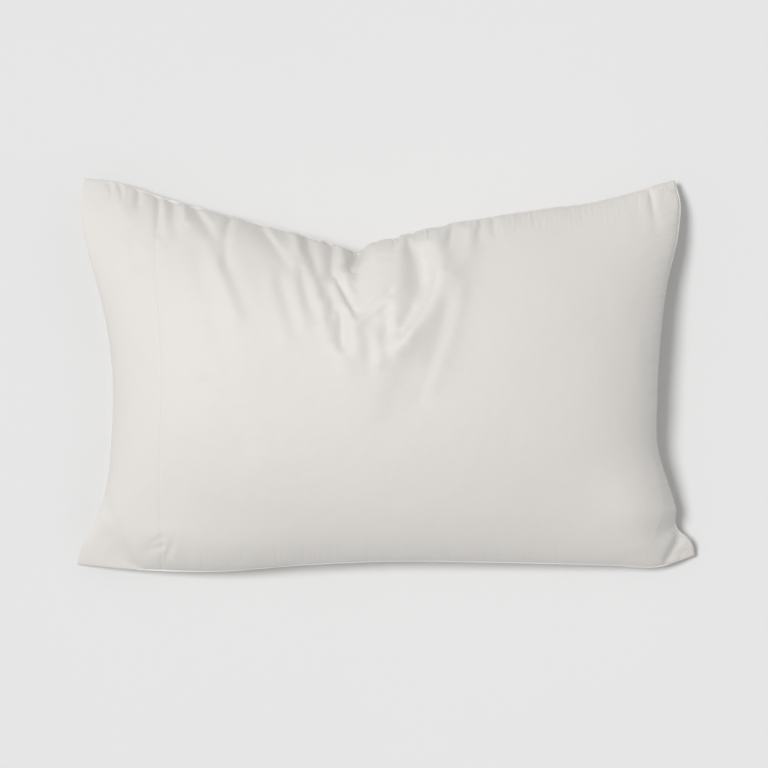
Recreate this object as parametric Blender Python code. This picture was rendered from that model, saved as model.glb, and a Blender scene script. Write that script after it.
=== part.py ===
"""A filled pillowcase, lying on its back with its face up.

The case is two cotton panels sewn along three sides, with a deep hem at the open left end, and
a pillow fills it. Both are one solid: a slab of grid cells is laid over the outline, raised to
the cloth's height on the face and on the back, and closed by the sewn edge. At the open end the
slab's wall is pushed in to the end of the pillow, so the two hems stand apart as thin cloth.

Metres, +X towards the closed end, +Y towards the dented edge, +Z out of the face.
"""

from collections import namedtuple

import bmesh
import bpy
import numpy as np

FLAT_LENGTH = 0.762  # the empty case laid flat, 508 mm wide
CLOTH = 0.0025  # a hem is two layers with air between them
SEAM = 0.003  # thickness of the sewn edge

# The thickest place of the face and of the back, measured from the surface of the seams.
FACE_CROWN = 0.098
BACK_CROWN = 0.108
SOFT_LANDING = 0.016  # height over which the back curves down onto the surface it lies on

# How each side rises to the crown: the share of the case it takes, and two exponents, of which
# the first makes the rise squarer and the second, under 1, rounds it steeply into the seam.
Rising = namedtuple("Rising", "reach square roundness")
OPEN_END_RISING = Rising(0.36, 3.2, 1.00)
CLOSED_END_RISING = Rising(0.50, 2.8, 0.58)
LOWER_RISING = Rising(0.44, 2.4, 0.58)
UPPER_RISING = Rising(0.56, 2.4, 0.62)

# The open end: how far the hems part, how far in along the cloth the gap closes and the pillow
# ends, and the shares of the width between which the hems part.
MOUTH_GAP = 0.046
MOUTH_SHARPNESS = 0.75
GAP_CLOSES = 0.120
PILLOW_END, PILLOW_END_AT_SEAMS = 0.066, 0.042
MOUTH_FROM, MOUTH_TO = 0.03, 0.97
MOUTH_STEPS = 4

COLUMNS, ROWS = 64, 42
CLOSER_AT_EDGES = 0.42  # 0 spaces the grid evenly, 1 bunches it at the edges
TOUCHING = 1e-6
HEM_EDGE_ANGLE = 1.0
BACK_LEVEL, INNER_BACK_LEVEL, INNER_FACE_LEVEL, FACE_LEVEL = 0, 0.25, 0.75, 1

# The corners, as far apart as the filled case draws them.
Corner = namedtuple("Corner", "x y height")
MOUTH_LOW = Corner(-0.3730, -0.2290, 0.006)
CLOSED_LOW = Corner(0.3730, -0.2180, 0.008)
MOUTH_TOP = Corner(-0.3622, 0.2358, 0.016)
CLOSED_TOP = Corner(0.3475, 0.2345, 0.018)

# How far an edge is drawn in from the straight line between its corners. A minus is outwards.
Draw = namedtuple("Draw", "share inwards")
LOWER_EDGE = (
    Draw(0.00, 0.000),
    Draw(0.10, -0.0068),
    Draw(0.23, -0.0098),
    Draw(0.36, -0.0036),
    Draw(0.48, -0.0004),
    Draw(0.68, -0.0038),
    Draw(0.87, -0.0102),
    Draw(0.94, -0.0128),
    Draw(1.00, 0.000),
)
UPPER_EDGE = (
    Draw(0.000, 0.000),
    Draw(0.04, 0.0022),
    Draw(0.13, 0.0227),
    Draw(0.26, 0.0484),
    Draw(0.39, 0.0733),
    Draw(0.445, 0.0860),
    Draw(0.463, 0.0905),
    Draw(0.480, 0.0815),
    Draw(0.525, 0.0719),
    Draw(0.61, 0.0566),
    Draw(0.77, 0.0367),
    Draw(0.85, 0.0297),
    Draw(1.000, 0.000),
)
OPEN_END = (
    Draw(0.00, 0.000),
    Draw(0.05, 0.0080),
    Draw(0.12, 0.0235),
    Draw(0.20, 0.0355),
    Draw(0.32, 0.0418),
    Draw(0.48, 0.0425),
    Draw(0.62, 0.0333),
    Draw(0.74, 0.0182),
    Draw(0.84, 0.0040),
    Draw(0.92, -0.0014),
    Draw(1.00, 0.000),
)
CLOSED_END = (
    Draw(0.00, 0.000),
    Draw(0.045, 0.0070),
    Draw(0.068, 0.0190),
    Draw(0.13, 0.0215),
    Draw(0.19, 0.0290),
    Draw(0.28, 0.0395),
    Draw(0.42, 0.0378),
    Draw(0.56, 0.0312),
    Draw(0.72, 0.0185),
    Draw(0.86, 0.0004),
    Draw(0.94, -0.0043),
    Draw(1.00, 0.000),
)
# The share of the case's length or width that a drawn-in edge pulls with it.
END_REACH, LOWER_REACH, UPPER_REACH = 0.20, 0.30, 0.62

# How far the middle of each seam rises above its corners, where the filling lifts it.
Rise = namedtuple("Rise", "lower upper open_end closed_end")
SEAM_RISE = Rise(0.046, 0.050, 0.042, 0.046)
SEAM_ROUNDNESS = 0.8
LEVEL_IN_THE_MIDDLE = 0.5  # share of the long seams' rise that the middle of the case lacks

# Soft troughs and ridges of the face. A line runs from (x, y) to (to_x, to_y), bowed sideways;
# its width and its depth change along it. A minus depth is a ridge.
Fold = namedtuple("Fold", "x y to_x to_y bow width to_width depth to_depth")
FACE_FOLDS = (
    # the dent pressed into the middle of the upper edge
    Fold(-0.034, 0.150, 0.006, 0.060, 0.004, 0.026, 0.046, 0.046, 0.022),
    Fold(0.006, 0.060, 0.004, -0.060, 0.000, 0.046, 0.060, 0.014, 0.000),
    Fold(0.024, 0.160, 0.034, 0.050, 0.008, 0.014, 0.020, 0.026, 0.004),
    # ridges that stand on either side of the dent
    Fold(-0.058, 0.150, -0.036, 0.066, -0.002, 0.009, 0.010, -0.013, -0.005),
    Fold(0.010, 0.150, 0.006, 0.085, 0.004, 0.012, 0.012, -0.012, -0.002),
    Fold(0.058, 0.150, 0.026, 0.046, -0.012, 0.012, 0.010, -0.013, -0.006),
    # folds fanning out of it to the left
    Fold(-0.104, 0.168, -0.074, 0.096, -0.004, 0.009, 0.008, 0.018, 0.006),
    Fold(-0.064, 0.118, -0.036, 0.068, 0.000, 0.007, 0.006, 0.009, 0.003),
    Fold(-0.108, 0.130, -0.058, 0.040, 0.004, 0.010, 0.010, 0.006, 0.002),
    Fold(-0.082, 0.080, -0.040, 0.002, 0.004, 0.010, 0.012, -0.004, 0.000),
    # and to the right
    Fold(0.078, 0.112, -0.004, -0.030, 0.010, 0.013, 0.014, 0.009, 0.002),
    Fold(0.092, 0.096, 0.040, -0.024, 0.006, 0.011, 0.012, 0.005, 0.001),
    # gathers along the upper seam
    Fold(-0.236, 0.200, -0.208, 0.160, 0.004, 0.011, 0.012, 0.013, 0.002),
    Fold(-0.258, 0.206, -0.252, 0.168, 0.000, 0.009, 0.010, 0.009, 0.001),
    Fold(-0.180, 0.188, -0.180, 0.098, -0.012, 0.012, 0.013, 0.012, 0.003),
    Fold(-0.150, 0.176, -0.120, 0.130, 0.003, 0.010, 0.011, 0.011, 0.002),
    Fold(0.078, 0.182, 0.068, 0.150, 0.000, 0.010, 0.012, 0.007, 0.000),
    Fold(0.126, 0.190, 0.128, 0.164, 0.000, 0.010, 0.012, 0.005, 0.000),
    # slack cloth of the corners at the open end
    Fold(-0.338, -0.140, -0.300, -0.200, 0.004, 0.014, 0.012, 0.005, 0.002),
    Fold(-0.318, 0.206, -0.300, 0.150, 0.000, 0.014, 0.018, -0.003, 0.000),
)

DEEPEST_FOLD = 0.85  # share of the face's height that a trough can take away
RIDGE_ROOM = 0.030  # a ridge is whole where the face stands this high over the seams

# The lower closed corner is tucked behind the filling: the face ends at a line from
# (x, y) to (to_x, to_y), and only flat cloth lies beyond it.
Tuck = namedtuple("Tuck", "x y to_x to_y softness left_over")
CORNER_TUCK = Tuck(0.3515, -0.1850, 0.3360, -0.2190, 0.0070, 0.10)
# The filling that is pushed up against the tuck, and the share of the crown where it is whole.
Swell = namedtuple("Swell", "x y radius height whole_from")
CORNER_SWELL = Swell(0.305, -0.165, 0.052, 0.020, 0.25)


def smooth_through(rows, share):
    """The table's value at each share, on a smooth curve through its rows."""
    stations = np.array([row[0] for row in rows])
    values = np.array([row[1] for row in rows])
    slopes = np.gradient(values, stations)
    left = np.clip(np.searchsorted(stations, share) - 1, 0, len(stations) - 2)
    step = stations[left + 1] - stations[left]
    u = (share - stations[left]) / step
    return (
        values[left] * (1 + 2 * u) * (1 - u) ** 2
        + values[left + 1] * (3 - 2 * u) * u**2
        + step * slopes[left] * u * (1 - u) ** 2
        - step * slopes[left + 1] * (1 - u) * u**2
    )


def fading(distance, reach):
    """1 at an edge, easing to 0 at the reach."""
    return np.clip(1 - distance / reach, 0, 1) ** 2


def bow(share):
    """A low arch: 0 at both ends and 1 in the middle."""
    return (4 * np.clip(share * (1 - share), 0, 1)) ** SEAM_ROUNDNESS


def rise(share, rising):
    """One side's profile: 0 at its edge, and 1 from its reach onwards."""
    left = np.clip(1 - share / rising.reach, 0, 1)
    return (1 - left**rising.square) ** rising.roundness


def between_corners(along, up, column):
    """A corner value spread evenly over the case."""
    lower = (1 - along) * MOUTH_LOW[column] + along * CLOSED_LOW[column]
    upper = (1 - along) * MOUTH_TOP[column] + along * CLOSED_TOP[column]
    return (1 - up) * lower + up * upper


def plan(along, up):
    """Where a point of the panel lies in plan: x and y."""
    x = between_corners(along, up, 0)
    x = x + smooth_through(OPEN_END, up) * fading(along, END_REACH)
    x = x - smooth_through(CLOSED_END, up) * fading(1 - along, END_REACH)
    y = between_corners(along, up, 1)
    y = y + smooth_through(LOWER_EDGE, along) * fading(up, LOWER_REACH)
    y = y - smooth_through(UPPER_EDGE, along) * fading(1 - up, UPPER_REACH)
    return x, y


def seam_height(along, up):
    """Height of the surface that the seams lie on."""
    bowed_along, bowed_up = bow(along), bow(up)
    seam = (1 - up) * SEAM_RISE.lower * bowed_along + up * SEAM_RISE.upper * bowed_along
    ends = (1 - along) * SEAM_RISE.open_end * bowed_up + along * SEAM_RISE.closed_end * bowed_up
    return between_corners(along, up, 2) + ends + seam * (1 - bowed_up * LEVEL_IN_THE_MIDDLE)


def across_fold(fold, x, y):
    """Each point's share along a fold and its distance from the fold's line."""
    run = np.array([fold.to_x - fold.x, fold.to_y - fold.y])
    length = np.hypot(*run)
    ahead = ((x - fold.x) * run[0] + (y - fold.y) * run[1]) / length**2
    sideways = ((y - fold.y) * run[0] - (x - fold.x) * run[1]) / length
    share = np.clip(ahead, 0, 1)
    sideways = sideways - fold.bow * 4 * share * (1 - share)
    past_the_end = (ahead - share) * length
    return share, np.hypot(sideways, past_the_end)


def folds_at(x, y):
    """Total depth of the face's folds."""
    total = np.zeros_like(x)
    for fold in FACE_FOLDS:
        share, distance = across_fold(fold, x, y)
        width = fold.width + share * (fold.to_width - fold.width)
        depth = fold.depth + share * (fold.to_depth - fold.depth)
        total += depth * np.exp(-((distance / width) ** 2))
    return total


def pressed_in(depth, raised):
    """How far a fold really sinks: never to the seams, and near them it fades out."""
    room = np.clip(raised, 1e-5, None) * DEEPEST_FOLD
    sunk = room * (1 - np.exp(-np.clip(depth, 0, None) / room))
    return np.where(depth > 0, sunk, depth * (1 - np.exp(-room / RIDGE_ROOM)))


def corner_fullness(x, y):
    """1 over the filling, and little beyond the tuck of the lower closed corner."""
    run_x, run_y = CORNER_TUCK.to_x - CORNER_TUCK.x, CORNER_TUCK.to_y - CORNER_TUCK.y
    beyond = ((y - CORNER_TUCK.y) * run_x - (x - CORNER_TUCK.x) * run_y) / np.hypot(run_x, run_y)
    inside = (1 - np.tanh(beyond / CORNER_TUCK.softness)) / 2
    return CORNER_TUCK.left_over + (1 - CORNER_TUCK.left_over) * inside


def swell(x, y, full):
    """Extra height of the filling that the tuck pushes back."""
    off_centre = np.hypot(x - CORNER_SWELL.x, y - CORNER_SWELL.y) / CORNER_SWELL.radius
    return CORNER_SWELL.height * np.exp(-off_centre**2) * np.clip(full / CORNER_SWELL.whole_from, 0, 1)


def half_gap(along, up):
    """Half the distance between the hems, fading out along the case."""
    width = np.clip(np.sin(np.pi * np.clip(up, 0, 1)), 0, 1) ** MOUTH_SHARPNESS
    return MOUTH_GAP / 2 * width * fading(along, GAP_CLOSES / FLAT_LENGTH)


def crown(along, up):
    """The filling's share of its full thickness."""
    along_the_case = rise(along, OPEN_END_RISING) * rise(1 - along, CLOSED_END_RISING)
    return along_the_case * rise(up, LOWER_RISING) * rise(1 - up, UPPER_RISING)


def case_point(along, up, face):
    """The point of the face panel (face 1) or of the back panel (face 0)."""
    x, y = plan(along, up)
    full = crown(along, up)
    middle = seam_height(along, up)
    raised = (FACE_CROWN * full + swell(x, y, full)) * corner_fullness(x, y)
    top = middle + SEAM / 2 + half_gap(along, up) + raised - pressed_in(folds_at(x, y), raised)
    low = middle - SEAM / 2 - half_gap(along, up) - BACK_CROWN * full
    landing = np.clip(low + SOFT_LANDING, 0, 2 * SOFT_LANDING)
    low = np.where(low < SOFT_LANDING, landing**2 / (4 * SOFT_LANDING), low)
    return np.stack([x, y, np.where(face > 0.5, top, low)], axis=-1)


def inward(along, up, face):
    """The panel's inward normal, from two short steps across it."""
    step = 0.002
    on_along = case_point(along + step, up, face) - case_point(along, up, face)
    on_up = case_point(along, up + step, face) - case_point(along, up - step, face)
    normal = np.cross(on_along, on_up) * np.where(face > 0.5, -1, 1)[:, None]
    return normal / np.linalg.norm(normal, axis=1, keepdims=True)


def slab_point(point):
    """Where a point of the unit slab lies on the case. Its lowest and highest levels are the back
    and the face, and the levels between them are the inner sides of the two hems."""
    along, up, level = point[:, 0], point[:, 1], point[:, 2]
    face = np.round(level)
    inside = (level > BACK_LEVEL) & (level < FACE_LEVEL)
    case = case_point(along, up, face)
    return case + np.where(inside[:, None], CLOTH * inward(along, up, face), 0)


def spaced(share):
    """Grid shares, closer together at both edges, where the cloth is steepest."""
    return (1 - CLOSER_AT_EDGES) * share + CLOSER_AT_EDGES * (1 - np.cos(np.pi * share)) / 2


def unit_slab():
    """A closed slab of grid cells, 1 by 1 by 1, whose cells are closer together at the edges."""
    shape = bmesh.new()
    bmesh.ops.create_grid(shape, x_segments=COLUMNS, y_segments=ROWS, size=0.5)
    bmesh.ops.translate(shape, verts=shape.verts, vec=(0.5, 0.5, 0))
    for vertex in shape.verts:
        vertex.co.x, vertex.co.y = spaced(vertex.co.x), spaced(vertex.co.y)
    raised = bmesh.ops.extrude_face_region(shape, geom=shape.faces[:], use_keep_orig=True)
    bmesh.ops.translate(shape, verts=points_of(raised), vec=(0, 0, FACE_LEVEL - BACK_LEVEL))
    bmesh.ops.recalc_face_normals(shape, faces=shape.faces)
    return shape


def points_of(result):
    return [item for item in result["geom"] if isinstance(item, bmesh.types.BMVert)]


def push_in_the_mouth(shape):
    """Pushes the slab's wall at the open end in, between the hems, as far as the pillow."""
    wall = [
        face
        for face in shape.faces
        if all(vertex.co.x < TOUCHING for vertex in face.verts)
        and MOUTH_FROM < face.calc_center_median().y < MOUTH_TO
    ]
    for step in range(MOUTH_STEPS + 1):
        pushed = bmesh.ops.extrude_face_region(shape, geom=wall)
        bmesh.ops.delete(shape, geom=wall, context="FACES")
        wall = [item for item in pushed["geom"] if isinstance(item, bmesh.types.BMFace)]
        for vertex in points_of(pushed):
            bend = (2 * vertex.co.y - 1) ** 2
            depth = (1 - bend) * PILLOW_END + bend * PILLOW_END_AT_SEAMS
            vertex.co.x = depth / FLAT_LENGTH * step / MOUTH_STEPS
            vertex.co.z = (INNER_BACK_LEVEL, INNER_FACE_LEVEL)[round(vertex.co.z)]


def cotton():
    """Smooth off-white cotton."""
    material = bpy.data.materials.new("off_white_cotton")
    material.use_nodes = True
    shader = material.node_tree.nodes["Principled BSDF"]
    shader.inputs["Base Color"].default_value = (0.79, 0.765, 0.73, 1)
    shader.inputs["Roughness"].default_value = 0.62
    shader.inputs["Metallic"].default_value = 0.0
    return material


def join_flat_back(shape):
    """Makes the cells that lie flat on the surface one face."""
    flat = {face for face in shape.faces if all(vertex.co.z == 0 for vertex in face.verts)}
    edges = [edge for edge in shape.edges if all(face in flat for face in edge.link_faces)]
    bmesh.ops.dissolve_edges(shape, edges=edges, use_verts=True)


def filled_case():
    """The case and the pillow in it, centred over the origin."""
    shape = unit_slab()
    push_in_the_mouth(shape)
    points = slab_point(np.array([vertex.co for vertex in shape.verts]))
    middle = (points.min(axis=0) + points.max(axis=0)) / 2
    points -= middle * (1, 1, 0)
    for vertex, point in zip(shape.verts, points):
        vertex.co = point
    join_flat_back(shape)
    mesh = bpy.data.meshes.new("pillowcase")
    shape.to_mesh(mesh)
    shape.free()
    mesh.materials.append(cotton())
    mesh.shade_smooth()
    mesh.set_sharp_from_angle(angle=HEM_EDGE_ANGLE)
    return bpy.data.objects.new("pillowcase", mesh)


def build():
    for item in list(bpy.data.objects):
        bpy.data.objects.remove(item, do_unlink=True)
    collection = bpy.data.collections.new("pillowcase_parts")
    bpy.context.scene.collection.children.link(collection)
    collection.objects.link(filled_case())


build()
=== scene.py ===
"""A filled cotton pillowcase on its back: the two sewn panels with their creases and puckers, the
stitched hem at the open end, the end of the pillow inside it, and a plain pale studio.

Metres, +X towards the closed end, +Y towards the dented edge, +Z out of the face.
"""

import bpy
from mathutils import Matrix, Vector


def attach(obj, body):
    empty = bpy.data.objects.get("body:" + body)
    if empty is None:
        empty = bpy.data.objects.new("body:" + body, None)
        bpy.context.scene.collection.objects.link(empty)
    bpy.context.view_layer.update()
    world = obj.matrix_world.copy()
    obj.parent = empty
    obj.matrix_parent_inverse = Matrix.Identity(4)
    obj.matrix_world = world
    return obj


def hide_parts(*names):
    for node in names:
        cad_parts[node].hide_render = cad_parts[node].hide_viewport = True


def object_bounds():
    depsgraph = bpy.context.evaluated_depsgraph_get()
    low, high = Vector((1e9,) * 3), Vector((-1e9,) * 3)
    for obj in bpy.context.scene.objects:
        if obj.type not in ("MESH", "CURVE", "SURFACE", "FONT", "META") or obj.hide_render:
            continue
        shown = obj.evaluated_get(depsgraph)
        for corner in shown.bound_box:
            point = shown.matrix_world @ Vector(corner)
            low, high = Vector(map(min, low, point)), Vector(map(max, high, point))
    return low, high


bl_info = {
    "name": "Filled pillowcase",
    "version": (1, 0, 0),
    "blender": (4, 5, 0),
    "location": "3D View > Sidebar > Pillowcase",
    "description": "Builds a filled cotton pillowcase with its hem, creases and studio",
    "category": "Object",
}

from collections import namedtuple

import bmesh
import bpy
import numpy as np
from bpy.props import FloatProperty, FloatVectorProperty, IntProperty, PointerProperty
from mathutils import Vector

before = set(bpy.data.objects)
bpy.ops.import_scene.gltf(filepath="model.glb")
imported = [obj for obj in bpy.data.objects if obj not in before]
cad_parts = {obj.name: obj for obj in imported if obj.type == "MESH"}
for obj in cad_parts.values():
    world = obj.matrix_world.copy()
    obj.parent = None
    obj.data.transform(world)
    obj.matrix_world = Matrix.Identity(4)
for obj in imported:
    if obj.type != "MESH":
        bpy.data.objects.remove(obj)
CAD_BOX = [list(corner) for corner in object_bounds()]
NODE = "pillowcase"
BODY = "root"

# ----------------------------------------------------------
# The form of the case. It follows the solid, with thinner cloth, a softer rise by the mouth, a
# longer fall of the face to the closed end, and a sharper tuck with a lower swell. A unit slab of
# (along, up, level) shares is laid over the outline and raised to the cloth's height on the face
# and on the back. Along runs from the open end to the closed end, and up to the dented edge.
# ----------------------------------------------------------

# The case laid flat, the cloth at a sewn seam, the pressed lip beside it, and the hem's wall.
FLAT_LENGTH, FLAT_WIDTH = 0.762, 0.508
SEAM = 0.0012
SEAM_LIP = 0.0016
HEM_THICKNESS = 0.0016

# How far the filling pushes the face up and the back down, and how softly the back meets the floor.
FACE_CROWN = 0.098
BACK_CROWN = 0.108
SOFT_LANDING = 0.016

# The filling's rise from each side: the share of the case that it takes, and two powers. A higher
# first one makes it squarer, and a second one under 1 makes it steep at the seam. The face falls
# to the closed end in a longer slope than the back, and both rise more softly by the mouth.
Rising = namedtuple("Rising", "reach square roundness")
OPEN_END_RISING = Rising(0.36, 3.2, 0.80)
BACK_END_RISING = Rising(0.50, 2.8, 0.58)
FACE_END_RISING = Rising(0.55, 1.9, 0.67)
LOWER_RISING = Rising(0.44, 2.4, 0.58)
UPPER_RISING = Rising(0.56, 2.4, 0.62)
FLATTER_AT_MOUTH = 0.55
FLATTER_REACH = 0.26

# The open end: how far the hems part, how far in the gap closes and the pillow ends, the shares
# of the width between which the hems part, and the rows of cells down the inside of the mouth.
MOUTH_GAP = 0.046
MOUTH_SHARPNESS = 0.75
GAP_CLOSES = 0.120
PILLOW_END, PILLOW_END_AT_SEAMS = 0.066, 0.042
MOUTH_FROM, MOUTH_TO = 0.03, 0.97
MOUTH_STEPS = 6

# The slab: how much closer its cells lie at the edges, what counts as touching, the levels of its
# four skins, its two panels, and the share of a panel over which its slope is taken.
CLOSER_AT_EDGES = 0.42
TOUCHING = 1e-6
BACK_LEVEL, INNER_BACK_LEVEL, INNER_FACE_LEVEL, FACE_LEVEL = 0, 0.25, 0.75, 1
BACK, FACE = 0, 1
NORMAL_STEP = 0.002

# The four corners of the outline, and how far each edge is drawn in from the straight line between
# them: a share of the way along or up the edge, and the distance inwards. A minus stands out.
Corner = namedtuple("Corner", "x y height")
MOUTH_LOW = Corner(-0.3730, -0.2290, 0.006)
CLOSED_LOW = Corner(0.3730, -0.2180, 0.008)
MOUTH_TOP = Corner(-0.3622, 0.2358, 0.016)
CLOSED_TOP = Corner(0.3475, 0.2345, 0.018)

Draw = namedtuple("Draw", "share inwards")
LOWER_EDGE = (
    Draw(0.00, 0.000),
    Draw(0.10, -0.0068),
    Draw(0.23, -0.0098),
    Draw(0.36, -0.0036),
    Draw(0.48, -0.0004),
    Draw(0.68, -0.0038),
    Draw(0.87, -0.0102),
    Draw(0.94, -0.0128),
    Draw(1.00, 0.000),
)
UPPER_EDGE = (
    Draw(0.000, 0.000),
    Draw(0.04, 0.0022),
    Draw(0.13, 0.0227),
    Draw(0.26, 0.0484),
    Draw(0.39, 0.0733),
    Draw(0.445, 0.0860),
    Draw(0.463, 0.0905),
    Draw(0.480, 0.0815),
    Draw(0.525, 0.0719),
    Draw(0.61, 0.0566),
    Draw(0.77, 0.0367),
    Draw(0.85, 0.0297),
    Draw(1.000, 0.000),
)
OPEN_END = (
    Draw(0.00, 0.000),
    Draw(0.05, 0.0080),
    Draw(0.12, 0.0235),
    Draw(0.20, 0.0355),
    Draw(0.32, 0.0418),
    Draw(0.48, 0.0425),
    Draw(0.62, 0.0333),
    Draw(0.74, 0.0182),
    Draw(0.84, 0.0040),
    Draw(0.92, -0.0014),
    Draw(1.00, 0.000),
)
CLOSED_END = (
    Draw(0.00, 0.000),
    Draw(0.045, 0.0070),
    Draw(0.068, 0.0190),
    Draw(0.13, 0.0215),
    Draw(0.19, 0.0290),
    Draw(0.28, 0.0395),
    Draw(0.42, 0.0378),
    Draw(0.56, 0.0312),
    Draw(0.72, 0.0185),
    Draw(0.86, 0.0004),
    Draw(0.94, -0.0043),
    Draw(1.00, 0.000),
)
# The share of the case over which an edge's drawing in dies away.
END_REACH, LOWER_REACH, UPPER_REACH = 0.20, 0.30, 0.62

# How far the middle of each seam is lifted above the line between its corners, how full that arch
# is, and how much of the long seams' lift is lost towards the middle of the case.
Rise = namedtuple("Rise", "lower upper open_end closed_end")
SEAM_RISE = Rise(0.046, 0.050, 0.042, 0.046)
SEAM_ROUNDNESS = 0.8
LEVEL_IN_THE_MIDDLE = 0.5

# The tuck across the lower closed corner, which leaves little filling beyond it, and the swell of
# the filling that it pushes back.
Tuck = namedtuple("Tuck", "x y to_x to_y softness left_over")
CORNER_TUCK = Tuck(0.3515, -0.1850, 0.3360, -0.2190, 0.0045, 0.10)
Swell = namedtuple("Swell", "x y radius height whole_from")
CORNER_SWELL = Swell(0.305, -0.165, 0.052, 0.013, 0.25)

# ----------------------------------------------------------
# What the solid leaves to the cloth: creases, puckers, the pressed seam edge and the hem line.
# ----------------------------------------------------------

# How much of the cloth's height a fold may take, how rounded its crest is, and the height from
# which a ridge is whole. The small folds count as if the cloth stood FOLD_ROOM higher.
DEEPEST_FOLD = 0.85
ROUNDED_CREST = 0.25
RIDGE_ROOM = 0.012
FOLD_ROOM = 0.060

# Troughs and ridges of the face, from (x, y) down to (to_x, to_y), bowed sideways. Left and right
# are the widths of a fold's flanks towards the open and the closed end, and they spread along it.
# A minus depth is a ridge. A low crispness makes a sharp fold, and 2 a soft one. They are given
# in two tables for broad forms and two for the folds that lie on those.
Fold = namedtuple("Fold", "x y to_x to_y bow left right spread depth to_depth crispness")
HOLLOW = (
    # the shallow hollow below the notch, and the broad one that the folds right of it stand in
    Fold(-0.040, 0.150, -0.040, 0.075, -0.010, 0.022, 0.040, 1.1, 0.006, 0.004, 2.0),
    Fold(0.052, 0.120, 0.036, 0.020, 0.000, 0.050, 0.100, 1.0, 0.006, 0.006, 2.0),
)
DENT_FOLDS = (
    # the wall left of the pocket, and the tongue between them
    Fold(-0.097, 0.171, -0.073, 0.095, 0.000, 0.008, 0.010, 0.9, 0.008, 0.004, 1.6),
    Fold(-0.063, 0.162, -0.064, 0.118, 0.000, 0.009, 0.005, 1.2, 0.012, 0.005, 1.6),
    Fold(-0.053, 0.150, -0.046, 0.116, 0.001, 0.008, 0.006, 1.3, -0.010, -0.002, 1.7),
    Fold(-0.109, 0.170, -0.098, 0.133, 0.000, 0.008, 0.007, 1.3, -0.008, -0.003, 1.7),
    # the pocket at the notch, with its lower lip
    Fold(-0.031, 0.156, -0.040, 0.128, 0.003, 0.014, 0.005, 0.7, 0.015, 0.007, 1.6),
    Fold(-0.030, 0.133, -0.049, 0.118, 0.004, 0.005, 0.009, 1.2, -0.005, -0.006, 1.6),
    # the hollow's floor, rising to the right, and the soft roll along the seam above it
    Fold(0.015, 0.160, 0.010, 0.100, 0.000, 0.042, 0.026, 1.0, -0.009, -0.005, 1.8),
    Fold(-0.014, 0.153, 0.045, 0.165, 0.000, 0.022, 0.012, 1.1, -0.013, -0.008, 1.8),
    # the sharp crease and the folds that fan out of the dent to the left
    Fold(-0.059, 0.114, -0.037, 0.074, 0.000, 0.003, 0.009, 1.1, 0.0035, 0.004, 1.4),
    Fold(-0.067, 0.098, -0.064, 0.068, 0.003, 0.007, 0.006, 1.0, 0.002, 0.002, 1.7),
    Fold(-0.053, 0.070, -0.051, 0.034, 0.000, 0.006, 0.007, 1.0, 0.004, 0.003, 1.7),
    Fold(-0.037, 0.076, -0.034, 0.030, 0.002, 0.013, 0.011, 1.2, -0.0035, -0.003, 1.8),
    Fold(-0.080, 0.112, -0.076, 0.067, 0.002, 0.011, 0.009, 1.0, -0.0035, -0.002, 1.7),
    Fold(-0.100, 0.136, -0.060, 0.041, -0.010, 0.008, 0.010, 1.1, 0.0025, 0.002, 1.7),
    Fold(-0.071, 0.055, -0.044, 0.007, 0.000, 0.009, 0.007, 1.1, -0.003, -0.001, 1.8),
    Fold(-0.105, 0.104, -0.096, 0.058, 0.000, 0.009, 0.006, 1.2, -0.0015, -0.001, 1.8),
    Fold(-0.123, 0.106, -0.110, 0.064, 0.000, 0.012, 0.007, 1.3, 0.0015, 0.001, 1.8),
    Fold(-0.135, 0.110, -0.117, 0.044, 0.000, 0.011, 0.008, 1.3, -0.0015, -0.001, 1.9),
    # the bowl right of the pocket and the hook round it
    Fold(0.028, 0.153, 0.041, 0.110, 0.000, 0.009, 0.013, 1.5, 0.003, 0.005, 1.7),
    Fold(0.038, 0.140, 0.018, 0.052, 0.018, 0.026, 0.010, 0.8, 0.005, 0.005, 1.9),
    Fold(0.061, 0.168, 0.066, 0.125, 0.000, 0.017, 0.022, 1.0, -0.008, -0.005, 1.7),
    Fold(0.064, 0.120, 0.024, 0.043, 0.004, 0.011, 0.032, 1.0, -0.008, -0.009, 1.6),
    Fold(0.032, 0.075, 0.017, 0.049, 0.000, 0.008, 0.006, 1.0, 0.002, 0.002, 1.8),
    Fold(0.004, 0.096, -0.032, 0.068, 0.000, 0.004, 0.004, 1.0, 0.0015, 0.001, 1.5),
    Fold(0.001, 0.077, -0.027, 0.054, 0.000, 0.007, 0.007, 1.1, 0.002, 0.0015, 1.8),
    Fold(0.011, 0.060, 0.012, 0.034, 0.002, 0.010, 0.009, 1.0, -0.003, -0.002, 1.7),
    Fold(0.000, 0.070, -0.001, 0.044, 0.002, 0.007, 0.006, 1.2, 0.002, 0.002, 1.7),
    Fold(-0.009, 0.041, -0.007, 0.016, 0.000, 0.007, 0.008, 1.2, -0.001, -0.002, 1.8),
    Fold(-0.022, 0.044, -0.017, 0.004, 0.000, 0.008, 0.006, 1.2, 0.001, 0.0005, 1.8),
    # long folds that run down to the right of it
    Fold(0.027, 0.052, -0.010, -0.021, 0.000, 0.050, 0.018, 1.2, -0.005, -0.0025, 1.8),
    Fold(0.072, 0.080, 0.042, -0.022, 0.002, 0.009, 0.013, 1.3, 0.0015, 0.0015, 1.8),
    Fold(0.088, 0.098, 0.053, -0.012, 0.004, 0.016, 0.010, 1.2, -0.0015, -0.002, 1.8),
    Fold(0.078, 0.180, 0.074, 0.148, 0.000, 0.007, 0.007, 1.2, 0.002, 0.001, 1.7),
    Fold(0.098, 0.170, 0.083, 0.118, 0.004, 0.013, 0.012, 1.3, -0.004, -0.001, 1.8),
    Fold(0.113, 0.186, 0.109, 0.155, 0.000, 0.006, 0.008, 1.2, 0.002, 0.0005, 1.7),
)
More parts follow.
